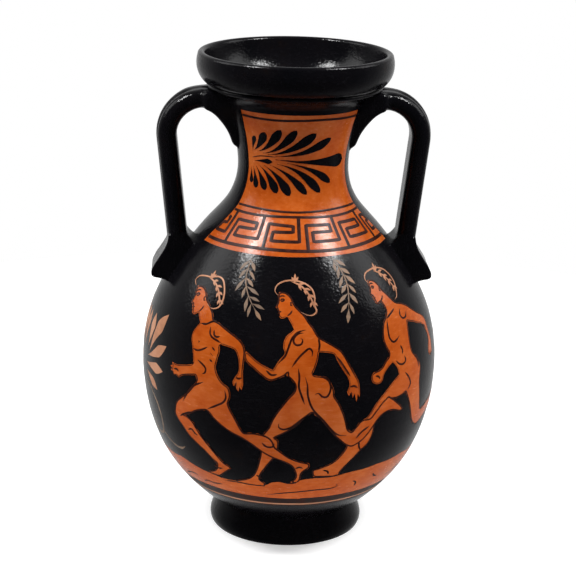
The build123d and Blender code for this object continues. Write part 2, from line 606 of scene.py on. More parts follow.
def black_gloss(name, upright=False):
    """Fired black slip, glossy and brownish in places, brushed on round the wheel or upright."""
    material, tree, shader = node_material(name)
    place, brushed = wheel_coordinates(tree)
    if upright:
        squeeze = tree.nodes.new("ShaderNodeVectorMath")
        squeeze.operation = "MULTIPLY"
        squeeze.inputs[1].default_value = (1.0, 1.0, 0.12)
        tree.links.new(place, squeeze.inputs[0])
        brushed = squeeze.outputs[0]
    streaks = noise(tree, brushed, 900, 5, 0.65)
    cloud = noise(tree, place, 55, 5, 0.6)
    speck = noise(tree, place, 1500, 3, 0.7)
    black, brown = (0.0034, 0.0030, 0.0038), (0.0065, 0.0038, 0.0028)
    colour = ramp(tree, cloud, (0.3, (0.0022, 0.0022, 0.0030)), (0.62, black), (0.8, brown))
    thin = grey_ramp(tree, streaks, (0.55, 0.0), (0.8, 1.0))
    colour = blended(tree, thin, colour, (0.0062, 0.0060, 0.0075))
    mixed = weighed(tree, streaks, 0.5, speck, 0.5)
    coated(tree, shader, colour, grey_ramp(tree, mixed, (0.3, 0.08), (0.7, 0.20)), GLOSS_SPECULAR)
    peel = noise(tree, place, PEEL_SCALE, 2, 0.6)
    relief = calculate(tree, "ADD", calculate(tree, "MULTIPLY", streaks, 0.35), peel)
    bumped(tree, shader, relief, 0.6)
    return material


def clay(name, tones, roughness):
    """Fired clay slip in three tones, brushed, with fine grain."""
    material, tree, shader = node_material(name)
    place, brushed = wheel_coordinates(tree)
    streaks = noise(tree, brushed, 700, 4, 0.6)
    cloud = noise(tree, place, 70, 5, 0.6)
    grain = noise(tree, place, 2600, 3, 0.7)
    blend = weighed(tree, cloud, 0.65, streaks, 0.35)
    colour = ramp(tree, blend, *zip((0.36, 0.5, 0.66), tones))
    dots = grey_ramp(tree, grain, (0.62, 0.0), (0.75, 0.45))
    colour = blended(tree, dots, colour, tuple(0.62 * value for value in tones[0]))
    worn = grey_ramp(tree, streaks, (0.3, roughness - 0.05), (0.7, roughness + 0.1))
    coated(tree, shader, colour, worn, CLAY_SPECULAR)
    peel = noise(tree, place, PEEL_SCALE, 2, 0.6)
    bumped(tree, shader, calculate(tree, "MULTIPLY_ADD", grain, 0.2, peel), 0.4)
    return material


def relief_slip():
    """The dark brown slip of the drawn lines."""
    material, tree, shader = node_material("relief_slip")
    cloud = noise(tree, object_place(tree), 300, 4, 0.6)
    colour = ramp(tree, cloud, (0.35, (0.010, 0.0022, 0.0014)), (0.7, (0.038, 0.007, 0.0026)))
    coated(tree, shader, colour, grey_ramp(tree, cloud, (0.3, 0.3), (0.7, 0.5)), GLOSS_SPECULAR)
    return material


GLOSS = black_gloss("black_gloss")
HANDLE_GLOSS = black_gloss("black_gloss_upright", upright=True)
CLAY = clay("reserved_clay", [(0.305, 0.049, 0.004), (0.365, 0.069, 0.008), (0.42, 0.100, 0.018)], 0.19)
BARE_CLAY = clay("bare_clay", [(0.30, 0.085, 0.03), (0.36, 0.115, 0.045), (0.42, 0.15, 0.065)], 0.75)
WASH = clay("pale_wash", [(0.09, 0.058, 0.040), (0.15, 0.10, 0.068), (0.26, 0.14, 0.075)], 0.4)
PALE = clay("pale_orange_slip", [(0.27, 0.115, 0.06), (0.36, 0.16, 0.085), (0.44, 0.22, 0.13)], 0.35)
RELIEF_SLIP = relief_slip()


# ---------------------------------------------------------------- the vessel


def panel_edge(along):
    """Half the width of the orange neck panel, which widens downwards."""
    return np.interp(along, [COAT_TOP, 170, 181, 200, PANEL_TOP], [91, 85, 79, 75, 70.5])


# The belly is black beside the foot: below this height and outside this radius
FOOT_SHOULDER = 16.5
FOOT_SHOULDER_RADIUS = 30.0
# The coats beside the neck panel overlap the ones above and below them
OVERLAP = 0.2


def level(along):
    """An edge of a band that stays at one height."""
    return lambda across: along


def second_material(piece, material, picks):
    """Gives another material to the faces that a test picks."""
    piece.data.materials.append(material)
    for face in piece.data.polygons:
        if picks(face):
            face.material_index = 1


def faces_inward(face):
    return face.normal.x * face.center.x + face.normal.y * face.center.y < 0


def faces_down(face):
    return face.normal.z < -0.5


def beside_foot(face):
    return face.center.z < FOOT_SHOULDER * MM and face.center.xy.length > FOOT_SHOULDER_RADIUS * MM


def build_vessel():
    belly = turned("clay_belly", "belly", BARE_CLAY)
    second_material(turned("clay_neck", "neck", CLAY), GLOSS, faces_inward)
    turned("gloss_mouth", "mouth", GLOSS)
    second_material(turned("gloss_foot_ring", "foot_ring", GLOSS), BARE_CLAY, faces_down)
    painted_band("gloss_coat_belly", level(FOOT_JOINT_ALONG), level(COAT_TOP), COAT, GLOSS)
    second_material(belly, GLOSS, beside_foot)
    joint = np.interp(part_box("neck")[1].z / MM, OUTER[:, 1], ALONG)
    painted_band("gloss_coat_neck_top", level(PANEL_TOP), level(joint), COAT, GLOSS, gap=0.6)
    for side, shift in (("right", 0.0), ("left", -BACK)):
        painted_band(
            f"gloss_coat_neck_{side}",
            level(COAT_TOP - OVERLAP),
            level(PANEL_TOP + OVERLAP),
            COAT,
            GLOSS,
            left=lambda s, shift=shift: shift + panel_edge(s),
            right=lambda s, shift=shift: shift + BACK - panel_edge(s),
        )


def smoothed(mesh):
    """Evens out a handle's mesh without shrinking it, and smears its ends smooth near the wall."""
    count = len(mesh.vertices)
    places = np.zeros(count * 3)
    mesh.vertices.foreach_get("co", places)
    places = places.reshape(-1, 3)
    edges = np.zeros(len(mesh.edges) * 2, int)
    mesh.edges.foreach_get("vertices", edges)
    start, end = edges.reshape(-1, 2).T
    links = np.bincount(start, minlength=count) + np.bincount(end, minlength=count)
    wall = np.interp(places[:, 2] / MM, OUTER[:, 1], OUTER[:, 0])
    off_wall = np.hypot(places[:, 0], places[:, 1]) / MM - wall
    reach = np.where(places[:, 2] > TAIL_END * MM, TAIL_REACH, HEEL_REACH)
    near = smooth_step((reach - off_wall) / (REACH_FADE * reach)) * (off_wall > AT_WALL)
    passes = [(STEP_IN, 1.0), (STEP_OUT, 1.0)] * EVEN_PASSES + [(STEP_IN, near[:, None])] * ROOT_PASSES
    for factor, share in passes:
        total = [
            np.bincount(start, places[end, axis], count) + np.bincount(end, places[start, axis], count)
            for axis in range(3)
        ]
        places += factor * share * (np.column_stack(total) / links[:, None] - places)
    mesh.vertices.foreach_set("co", places.ravel())
    mesh.update()


def build_handle(node):
    """The CAD handle with its roots sunk into the wall, remeshed fine and smoothed as by wet fingers."""
    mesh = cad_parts[node].data.copy()
    mesh.name = f"gloss_{node}"
    piece = bpy.data.objects.new(mesh.name, mesh)
    bpy.context.scene.collection.objects.link(piece)
    bm = bmesh.new()
    bm.from_mesh(mesh)
    bmesh.ops.remove_doubles(bm, verts=bm.verts, dist=1e-6)
    for vertex in bm.verts:
        radius = math.hypot(vertex.co.x, vertex.co.y) / MM
        wall = np.interp(vertex.co.z / MM, OUTER[:, 1], OUTER[:, 0])
        if radius - wall < ROOT_TOUCH:
            sunk = (radius - ROOT_DEPTH) / radius
            vertex.co.x *= sunk
            vertex.co.y *= sunk
    bm.to_mesh(mesh)
    bm.free()
    remesh = piece.modifiers.new("remesh", "REMESH")
    remesh.mode = "VOXEL"
    remesh.voxel_size = HANDLE_GRAIN * MM
    bpy.context.view_layer.update()
    solid = piece.evaluated_get(bpy.context.evaluated_depsgraph_get())
    finished = bpy.data.meshes.new_from_object(solid)
    piece.modifiers.clear()
    piece.data = finished
    smoothed(finished)
    finished.materials.clear()
    finished.materials.append(HANDLE_GLOSS)
    finished.shade_smooth()
    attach(piece, "root")
    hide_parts(node)


# ---------------------------------------------------------------- bands, meander and palmettes

MEANDER_PERIOD = 35.0
MEANDER_START = 3.5
MEANDER_WIDTH = 28.8
MEANDER_LINE = 1.7
UNEVEN_START = 0.7
UNEVEN_KEY = 0.25

# Widths of NECK_LINE and the three MEANDER_LINES, and how far the palmette's drawing is moved
RULED_WIDTHS = [1.2, MEANDER_LINE, 1.3, 1.1]
PALMETTE_SHIFT = (-1.5, -1.0)

# Top of the painted ground all round, which passes under the runners' feet
GROUND_TOP = [
    (-226.2, 44.5), (-190, 46), (-150, 43.5), (-115, 45), (-92, 44.4), (-75, 45.5), (-63, 43.5),
    (-57, 41.8), (-47, 40.5), (-20, 40), (-17, 42.2), (-13, 43), (-8, 42), (-4, 42.3), (-1.5, 44.8),
    (5, 45.3), (18, 45.8), (30, 47.3), (40, 47.8), (60, 48.5), (85, 47), (110, 45), (150, 47), (190, 44),
    (226.2, 44.5),
]

GROUND_CONTOURS = [
    [(-63, 32.3), (-60, 34.2), (-54, 34), (-48, 35.2)],
    [(-45, 39.2), (-35, 39.6), (-27, 39)],
    [(-20, 32.3), (-12, 34.2), (-2, 35.6), (8, 36.6), (17.5, 36.8), (20.8, 38), (19.5, 39.8)],
    [(30, 40), (32.5, 38.5), (33, 35.5)],
    [(43.5, 42), (45, 40), (48, 38.6)],
    [(-80, 33), (-72, 36), (-66, 36)],
    [(60, 35), (70, 37), (84, 36)],
    [(110, 33), (126, 36), (142, 35)],
    [(-200, 36), (-182, 38), (-166, 36)],
    [(-150, 33), (-138, 35.5), (-124, 34)],
    [(168, 34), (184, 36.5), (200, 35.5)],
]


def teardrop(start, bend, tip, width, pointed=False, steps=26, swell=0.72, stalk=1.15):
    """A petal or leaf outline along a bent middle line, narrow at its start, of that real width.

    It is widest at the share of its length that swell says, and a higher stalk keeps its start thinner.
    """
    start, bend, tip = (np.asarray(p, float) for p in (start, bend, tip))
    t = np.linspace(0, 1, steps)[:, None]
    middle = (1 - t) ** 2 * start + 2 * t * (1 - t) * bend + t**2 * tip
    side = sideways(middle, np.gradient(middle, axis=0))
    share = t[:, 0]
    past = np.clip((share - swell) / (1 - swell), 0, 1)
    ending = 1 - past**1.6 if pointed else np.sqrt(1 - past**2)
    half = width / 2 * np.where(share < swell, (share / swell) ** stalk, ending)
    half[0] = 0.12
    left, right = middle + side * half[:, None], middle - side * half[:, None]
    return np.vstack([left[:-1], middle[-1:], right[:-1][::-1]])


# The palmette lying on its side on the neck, as (start, bend, tip, real width)
NECK_PETALS = [
    ((-63, 209.3), (-62, 213), (-56, 217.5), 2.6),
    ((-61, 210), (-52, 211.6), (-41, 220.2), 4.3),
    ((-55, 209.8), (-38, 211), (-22, 222.2), 4.5),
    ((-47, 209.2), (-22, 210.6), (-4.5, 222.3), 4.3),
    ((-40, 208.8), (-8, 210), (17.5, 220.6), 4.8),
    ((-30, 208.4), (8, 208.6), (37.5, 217.6), 4.4),
    ((-15, 205.2), (18, 203.4), (43, 195), 3.7),
    ((-28, 204.5), (4, 203), (27, 190.8), 4.2),
    ((-38, 203.7), (-11, 200.8), (9.5, 190.2), 3.7),
    ((-46, 203), (-26, 199.6), (-11, 189.6), 4.4),
    ((-53, 202.6), (-40, 199.6), (-27, 190.4), 4.1),
    ((-59, 202), (-52, 198.6), (-43, 191.3), 3.7),
    ((-64, 201.6), (-61, 197.6), (-57, 191.6), 3.2),
    ((-68, 201), (-68, 197.8), (-66, 193.6), 2.6),
]


def shifted(points, across, along=0.0):
    return [(a + across, s + along) for a, s in points]


def build_neck(side, across):
    """One face of the neck: the lying palmette and the ruled lines, among them the ones above and below the
    meander.
    """
    petals = [teardrop(*petal, swell=0.78, stalk=1.5) for petal in NECK_PETALS]
    petals.append(teardrop((-30, 206.6), (20, 205.4), (66, 205.4), 6.6, swell=0.86, stalk=1.8))
    petals.append(teardrop((-61, 204.6), (-46, 205.6), (-34, 205.2), 2.6, pointed=True))
    petals = [shifted(shifted(petal, across), *PALMETTE_SHIFT) for petal in petals]
    painted(f"neck_palmette_{side}", petals, NECK_PAINT, GLOSS, gap=3.2)
    stems = [[(-24, 206.6), (0, 206.2), (24, 205.6)], [(-66, 206), (-50, 207.6), (-30, 207.9)]]
    stems = [shifted(shifted(stem, across), *PALMETTE_SHIFT) for stem in stems]
    painted_lines(f"neck_palmette_stems_{side}", stems, 0.5, NECK_PAINT, RELIEF_SLIP)
    ruled = []
    for along in [NECK_LINE, *MEANDER_LINES]:
        edge = panel_edge(along) - 0.8
        wave = [(a, along + 0.25 * math.sin(a / 17 + along)) for a in np.linspace(-edge, edge, 24)]
        ruled.append(shifted(wave, across))
    painted_lines(f"neck_lines_{side}", ruled, RULED_WIDTHS, OVERPAINT, RELIEF_SLIP, tapered=False)


def meander_unit(start, low, high):
    """One key of the meander: up from the lower line, in, back, and up to the upper line."""
    rise = high - low
    end = start + MEANDER_WIDTH
    top, upper, lower = low + 0.77 * rise, low + 0.55 * rise, low + 0.28 * rise
    return [
        (start, low), (start + 0.3, top), (end - 5.2, top - 0.3), (end - 5.2, upper),
        (start + 5.6, upper), (start + 5.4, lower), (end, lower), (end, high),
    ]


def build_meander(side, across):
    """The keys of one face, each a little different, cut off where the black flanks begin."""
    rng = random.Random(7 if side == "front" else 8)
    low, high = MEANDER_LINES[0], MEANDER_LINES[1]
    keys = []
    for k in range(-3, 3):
        start = MEANDER_START + k * MEANDER_PERIOD + rng.uniform(-UNEVEN_START, UNEVEN_START)
        key = [(a, s + rng.uniform(-UNEVEN_KEY, UNEVEN_KEY)) for a, s in meander_unit(start, low, high)]
        dense = refined(key, 1.0, False, math.radians(20))
        within = [(a, s) for a, s in dense if abs(a) < panel_edge(s) - 1]
        if len(within) > 2:
            keys.append(shifted(within, across))
    name = f"meander_{side}"
    painted_lines(name, keys, MEANDER_LINE, OVERPAINT, RELIEF_SLIP, tapered=False, smooth=False)


def build_ground():
    """The orange ground that the runners tread, the pale line under it, and its drawn contours."""
    across, along = np.array(GROUND_TOP).T

    def top(a):
        a = (a + BACK) % FULL_TURN - BACK
        return float(np.interp(a, across, along)) + 0.25 * math.sin(a / 3.1)

    def bottom(a):
        return GROUND_BOTTOM + 0.3 * math.sin(a / 19)

    def pale(a):
        return PALE_LINE + 0.25 * math.sin(a / 23)

    painted_band("ground_band", bottom, top, GROUND, CLAY)
    painted_band("thin_slip_band", level(PALE_LINE - 2), lambda a: bottom(a) + 0.2, UNDERPAINT, RELIEF_SLIP)
    painted_band("pale_line", lambda a: pale(a) - 0.65, lambda a: pale(a) + 0.65, GROUND, PALE, gap=0.4)
    painted_lines("ground_contours", GROUND_CONTOURS, 1.0, GROUND_LINES, RELIEF_SLIP)
    edge = [(a, bottom(a) - 0.3) for a in np.linspace(0, FULL_TURN, 240, endpoint=False)]
    painted_lines("ground_edge", [edge], 1.2, GROUND_LINES, RELIEF_SLIP, closed=True)


def fan_palmette(name, centre, reach, petals, spread, width):
    """An upright fan of petals about a hub, with a rounded heart."""
    shapes = []
    for k in range(petals):
        share = 2 * k / (petals - 1) - 1
        angle = math.pi / 2 - share * spread
        length = reach * (1 - 0.30 * abs(share) ** 1.3)
        out = (math.cos(angle), math.sin(angle))
        droop = (0.09 * length * math.sin(angle) * share, -0.09 * length * abs(share))
        start = (out[0] * reach * 0.2, out[1] * reach * 0.2)
        tip = (out[0] * length + droop[0], out[1] * length + droop[1])
        bend = (out[0] * length * 0.55 - droop[0], out[1] * length * 0.55 - droop[1])
        shapes.append(teardrop(*about([start, bend, tip], centre), width * (1 - 0.18 * abs(share))))
    round_heart = np.linspace(0, 2 * math.pi, 24, endpoint=False)
    heart = [(reach * 0.13 * math.cos(a), reach * 0.11 * math.sin(a)) for a in round_heart]
    shapes.append(about(heart, centre))
    painted(name, shapes, OVERPAINT, CLAY)


def volute(centre, way, reach):
    """A tendril that leaves the hub sideways, curls down and in, as a list of places."""
    points = []
    for k in range(26):
        angle = 0.35 + 0.23 * k
        radius = reach * (0.52 - 0.0145 * k)
        across = way * (reach * 0.52 - radius * math.cos(angle))
        points.append((across, -reach * 0.12 - radius * math.sin(angle) * 0.9))
    return about(points, centre)


def side_petals(hub):
    """The fan under a handle, the same on both sides of its hub, as closed outlines."""
    half = [
        ((5.5, 10.5), (8, 18), (7, 27.5), 6.0),
        ((9, 8.5), (13, 19.5), (21.5, 30.5), 7.4),
        ((7, 6), (17, 9), (26.5, 16), 5.8),
        ((6, 2), (15, 2.6), (25.5, 3), 5.4),
        ((6, -2), (12, -3.4), (20, -8), 4.4),
    ]
    first = [(hub[0] - 1, hub[1] + 9.5), (hub[0] - 1.6, hub[1] + 17), (hub[0] - 1, hub[1] + 27)]
    petals = [teardrop(*first, 5.0, pointed=True, swell=0.64)]
    for way in (-1, 1):
        for start, bend, tip, width in half:
            places = [(hub[0] + way * a, hub[1] + s) for a, s in (start, bend, tip)]
            petals.append(teardrop(*places, width, pointed=True, swell=0.64))
    return petals


def side_tendrils(hub, ways):
    """A curl below the fan on each of those sides, and a trailing end, as lines about the hub."""
    curl = [(4, -7.5), (10, -9), (16, -13), (19.7, -18.5), (20.4, -25.5), (18, -31), (13, -33), (9, -30.5)]
    curl.append((9.5, -26))
    trail = [(18.5, -30), (24, -33.5), (29.5, -35.5), (34.5, -35.1), (37.5, -33.3)]
    return [[(hub[0] + way * a, hub[1] + s) for a, s in line] for way in ways for line in (curl, trail)]


def build_side_palmettes():
    """Palmettes with tendrils under the handles and, larger, in the middle of the back."""
    for side, hub, ways in (("left", (-105.0, 87.5), (-1, 1)), ("right", (127.0, 87.5), (1,))):
        painted(f"palmette_{side}", side_petals(hub), OVERPAINT, PALE)
        painted_lines(f"palmette_{side}_tendrils", side_tendrils(hub, ways), 1.4, OVERPAINT, WASH)
    back = (BACK, 92.0)
    fan_palmette("palmette_back", back, 44, 11, 2.0, 9.0)
    curls = [volute((back[0] + way * 4, back[1] - 6), way, 34) for way in (-1, 1)]
    painted_lines("palmette_back_tendrils", curls, 1.3, OVERPAINT, CLAY)


def sprig(name, stem, leaves, length, width, seed):
    """A hanging sprig: a stem with pairs of leaves that point down it, and one leaf at its end."""
    rng = random.Random(seed)
    path = through(stem, 0.5)
    painted_lines(f"{name}_stem", [stem], 0.55, OVERPAINT, WASH)
    shapes = []
    for k in range(leaves):
        index = int((k + 0.5) / leaves * (len(path) - 2))
        here = path[index]
        for way in (-1, 1):
            turn = heading_at(path, index) + way * rng.uniform(0.42, 0.75)
            reach = length * rng.uniform(0.82, 1.12)
            tip = (reach * math.cos(turn), reach * math.sin(turn))
            bend = (tip[0] * 0.5 - way * 0.5 * math.sin(turn), tip[1] * 0.5 + way * 0.5 * math.cos(turn))
            places = about([(0.0, 0.0), bend, tip], (here[0], here[1] + rng.uniform(-0.5, 0.5)))
            leaf_width = width * rng.uniform(0.85, 1.15)
            shapes.append(teardrop(*places, leaf_width, pointed=True, steps=14, swell=0.5))
    end, before = path[-1], path[-6]
    tip = end + (end - before) / np.hypot(*(end - before)) * length
    shapes.append(teardrop(end, (end + tip) / 2, tip, width * 1.15, pointed=True, steps=14, swell=0.5))
    painted(f"{name}_leaves", shapes, LEAF_PAINT, WASH, gap=1.6)


def build_sprigs():
    left = [(-37.4, 157), (-38.2, 150), (-37.4, 144), (-33.8, 137.5), (-28.8, 131.5)]
    sprig("sprig_left", left, 6, 7.4, 1.6, 3)
    right = [(20.6, 157), (25.2, 150), (26.8, 143), (25.6, 136.5), (24, 131)]
    sprig("sprig_right", right, 6, 7.0, 1.8, 4)
    for name, middle, seed in (("sprig_back_left", 165, 5), ("sprig_back_right", 287, 6)):
        stem = [(middle, 157), (middle + 1.5, 148), (middle + 1, 140), (middle - 1.5, 131)]
        sprig(name, stem, 6, 7.2, 1.7, seed)


# ---------------------------------------------------------------- the runners

# Each body's outline runs from the front of the neck down the front, round the legs and up the
# back to the nape; the head is added to it. All heads share one plain profile.

LEFT_BODY = [
    (-58, 120), (-59.5, 118), (-61, 115), (-61, 112), (-59.5, 108.5), (-58, 104),
    (-57.3, 100.5), (-61, 99.2), (-66, 98), (-68.4, 97.6), (-71.6, 97.8), (-71, 96.6), (-72.8, 95.8),
    (-71.2, 95.2), (-72.2, 93.8), (-70.2, 93.6), (-69.8, 92), (-68, 92.4), (-66.2, 91.7), (-64.4, 93),
    (-61, 94.2), (-55.5, 95.5), (-54.5, 93.5), (-56, 91), (-60, 86), (-65, 82), (-68, 79), (-69.5, 75),
    (-69.8, 72.5), (-68, 69.5), (-65, 66.5), (-62, 63), (-58, 60), (-53, 56.5), (-49, 52.5), (-46.7, 50.5),
    (-47.5, 47.5), (-49.5, 45.2), (-53.5, 43.3), (-53, 42.2), (-50, 41.6), (-46.5, 41.9), (-44, 44),
    (-41, 46.5), (-38.5, 48.7), (-39.5, 50.2), (-42, 51.5), (-45, 55), (-49, 60), (-53, 64.5),
    (-55.5, 68), (-58, 71.5), (-62, 73.5), (-64.5, 73.3), (-60, 74.5), (-55, 77.5), (-50, 79.3),
    (-48.3, 79.3), (-45, 76), (-41, 73), (-36, 70.2), (-31, 68.2), (-26, 65.2), (-21, 61.5), (-16, 58.7),
    (-10, 56.2), (-6.5, 54), (-5, 51), (-4.2, 48), (-5, 45), (-6.7, 43.3), (-4.5, 42.8), (-2.5, 43.5),
    (-1.5, 45.5), (-1.3, 48.5), (0, 51), (2, 52.3), (2.8, 54), (2, 55.7), (-0.5, 56.3), (-4, 57.5),
    (-8, 59.5), (-12, 62.7), (-15, 65.3), (-15.3, 67), (-17.5, 70), (-21, 71.3), (-26, 71.7),
    (-29.7, 71.4), (-31.2, 73.5), (-33.7, 78.3), (-36, 82.3), (-37.2, 85), (-36.4, 87.6), (-36.2, 90),
    (-37.5, 93.2), (-40, 94.5), (-42.5, 97), (-44.5, 101), (-44.2, 105), (-43.5, 109), (-44, 112.5),
    (-39, 112), (-35.3, 111), (-34, 109), (-32.9, 106), (-32.7, 101), (-34.2, 98.5), (-35.2, 96),
    (-34.6, 94.2), (-33.4, 96), (-33.2, 93.2), (-32.2, 92), (-31.8, 94.4), (-30.8, 92.8), (-30.2, 95),
    (-30.3, 97.5), (-30.6, 101), (-30.5, 105), (-30.3, 110), (-31, 113), (-33, 115.5), (-36, 117.3),
    (-40, 119.2), (-44, 121), (-47, 122.3), (-50, 122.8), (-52, 126),
]

LEFT_DRAWN = [
    [(-39, 91.4), (-38.4, 87.6), (-40, 85.1), (-42.5, 83.6), (-44.7, 82.3), (-48.1, 80.4)],
    [(-50.6, 93.2), (-56.2, 90.1), (-60, 85.7), (-63.1, 80.7)],
    [(-58, 76.5), (-64, 73.5), (-66, 72)],
    [(-61.5, 66), (-59, 67), (-57, 65), (-55.5, 64.5)],
    [(-59, 107.7), (-56, 107.3), (-53, 108.5), (-50.5, 110)],
    [(-57.5, 120), (-54, 120.3), (-51, 122), (-48.5, 122.8)],
    [(-51, 119.5), (-50.5, 116.5), (-49, 115), (-46, 114), (-43.5, 113.2)],
    [(-48.5, 118.5), (-48, 116.3), (-46.5, 115.5), (-44.5, 116)],
    [(-48, 110.5), (-46, 109)],
    [(-48.4, 107.6), (-46.8, 106.4)],
    [(-48.4, 104.6), (-46.6, 103.6)],
    [(-55, 103), (-52, 101.5), (-50, 100), (-50, 98), (-51.5, 97)],
    [(-21, 67), (-19, 65), (-16, 65), (-15, 67)],
    [(-56.4, 111.9), (-56, 111.2), (-55.6, 111.9)],
    [(-70, 94.9), (-68, 95.4), (-66.4, 94.6)],
    [(-33.9, 98.4), (-32.4, 98), (-31, 98.6)],
    [(-48.6, 48.6), (-46.4, 47.4), (-44, 47.8)],
    [(-4.6, 52.4), (-2.6, 53.4), (-0.6, 52.6)],
]

MIDDLE_BODY = [
    (-8, 125), (-6.8, 122.5), (-8.5, 121), (-10, 120), (-11.5, 117.5), (-11.8, 114),
    (-11, 111.5), (-13, 109), (-15, 106), (-16.3, 103.5), (-20, 105), (-24, 107), (-28, 109.8),
    (-29.9, 111.2), (-30.4, 109.6), (-29.9, 107.6), (-29, 106.2), (-26, 104), (-22, 101), (-19, 99),
    (-17, 98.5), (-14, 99.5), (-11, 101), (-9.5, 102.8), (-10, 101.5), (-8, 99.5), (-6, 97), (-6, 94.5),
    (-9.5, 90), (-13, 85), (-16, 80), (-18, 75), (-20.5, 71.5), (-21.6, 66), (-22, 60), (-23, 56),
    (-24.5, 51), (-26.5, 47), (-29, 44.5), (-33, 42.5), (-38, 40.8), (-37.6, 39.6), (-30, 39.2),
    (-25, 39), (-21, 39.2), (-20.4, 41.5), (-23, 44), (-22.5, 47), (-20.5, 50.5), (-18, 54.5),
    (-15.7, 57.7), (-13.6, 61.5), (-13, 65.5), (-13.3, 69), (-15, 70), (-9.7, 73), (-5, 76.3), (-1, 80.7),
    (2.7, 83.7), (3.5, 82), (6, 80), (9, 76), (13, 71), (17, 67), (20, 64.5), (23, 63.2), (27, 64.6),
    (31, 68), (35, 73.5), (37, 76), (40, 78), (45, 78.3), (51, 76.5), (52.6, 77.6), (50.5, 80), (48, 82),
    (45, 84.4), (42, 86.3), (38.5, 84.2), (35, 80.6), (31, 76.8), (29, 77.4), (26, 76), (24, 73.5),
    (22.3, 71.6), (20.3, 73), (19, 77), (17.5, 81.5), (15, 87), (12.5, 91), (12.3, 93.5), (11, 97),
    (9.5, 99), (7, 100.5), (4, 101), (1.8, 101.5), (3, 104), (4.5, 108), (5.3, 112), (6.3, 112),
    (10, 111.5), (13, 110.5), (14, 108), (16.5, 103.5), (19.5, 98.5), (20, 95), (18.8, 92), (19.7, 90.3),
    (21, 92.2), (21.6, 89.2), (22.6, 91.2), (23.6, 87), (24.2, 90.8), (25.2, 89), (25, 94.5),
    (24.5, 97), (22.5, 101), (20.5, 105), (18.5, 109), (16.5, 112), (14, 114), (10, 116.5), (6, 118.8),
    (5, 120), (3, 123.5), (1, 126), (-1, 129),
]

MIDDLE_DRAWN = [
    [(-0.9, 122.4), (-4.8, 121.3), (-7.6, 118.6), (-9.2, 114.7), (-10.9, 110.2), (-13.7, 106.9)],
    [(-2, 121), (-5, 120.5), (-7, 118), (-6.5, 116), (-5, 115.3), (-3, 116), (-2.5, 118), (-3.5, 118.5)],
    [(-7.6, 105.2), (-4.8, 109.1), (-2, 111.9), (0.8, 113.8), (2.2, 112.4), (1.9, 110.2)],
    [(-4.5, 104.5), (-4, 100), (-4.2, 96), (-2.6, 91), (-1.4, 87.6)],
    [(-1.3, 100.5), (-0.3, 97), (0, 92), (1.5, 87), (3, 84.3), (7.7, 79), (11.7, 74), (15, 71), (19.7, 70)],
    [(3.3, 92.3), (5, 92.7), (6.7, 91), (8.7, 90.7), (10, 92.3), (10.7, 95.7), (8.5, 100), (4.4, 100.4)],
    [(-13, 77.7), (-13, 75.7), (-11, 74.7), (-7.7, 75.7), (-3.7, 79), (1, 83)],
    [(14, 109.5), (15.5, 107.5), (18, 103.5), (20.5, 99.5)],
    [(-17.4, 68.2), (-16.4, 65.4), (-17.4, 62.6)],
    [(-19.5, 103.2), (-17, 101.2), (-14.4, 101.6)],
    [(20.2, 94.4), (22.2, 94.8), (24, 93.6)],
    [(-25, 46.8), (-23.2, 46), (-22.2, 44.6)],
    [(25, 67.5), (27.5, 70.5), (31.5, 73)],
    [(5.2, 112.2), (5.8, 115.4), (5.4, 118.4)],
]

RIGHT_BODY = [
    (47.5, 129), (48, 127), (46.5, 124.4), (43.5, 121.5), (41.8, 118), (41, 114),
    (41.8, 110.5), (43.2, 107.6), (43.5, 106), (41, 104), (38, 101), (35, 99.7), (32.8, 99.4),
    (31.8, 97.6), (32.2, 95.2), (33.8, 94), (36.5, 93.8), (38, 95), (39, 97.5), (42, 100.5), (45, 102.2),
    (46.5, 101), (48, 99), (49, 95.5), (45, 93), (40, 89), (35, 84.5), (31, 79), (29.5, 77.5),
    (26.5, 74.6), (22.5, 71), (21.5, 68), (20.5, 63.6), (17.6, 58.4), (14, 55), (8, 52.4), (4.4, 51.2),
    (4.4, 49), (5.4, 46.6), (11, 46.2), (16, 45.8), (19.5, 46.4), (19.8, 48.2), (21.5, 51), (24, 54),
    (27, 57.5), (29, 60), (32, 62.5), (34, 66), (34.8, 70), (35, 73.5), (37.5, 79), (40, 83.6), (44, 84.5),
    (47, 84), (51, 84.5), (54, 85.5), (57, 80), (59.5, 74.5), (61.5, 70), (64.5, 66), (69, 63.5),
    (75, 64), (82, 66), (90, 67), (98, 67.5), (104, 66), (107, 62), (108.6, 57.4), (110.4, 58.4),
    (110.4, 64), (109, 70), (105, 73.4), (98, 74.6), (90, 74.4), (80, 73), (75, 72), (71, 71.4), (69, 76),
    (67.5, 82), (66.5, 88), (67.5, 95), (66.5, 98), (64, 101), (61, 103.5), (60, 107), (60.2, 111),
    (61, 115.5), (62, 118.6), (67, 117), (72, 115), (75.5, 114), (77.5, 112.5), (79.5, 110), (81, 107),
    (81, 104), (79.5, 101), (79, 98.6), (80.2, 96.6), (81.4, 98.2), (82.4, 95.8), (83.4, 98), (84.6, 96.6),
    (85.2, 99.5), (85, 103), (84, 107), (83, 111), (82.5, 114.5), (80.5, 117), (76, 119.5), (71, 122.5),
    (66, 126), (61, 128.2), (57.5, 129.2),
]

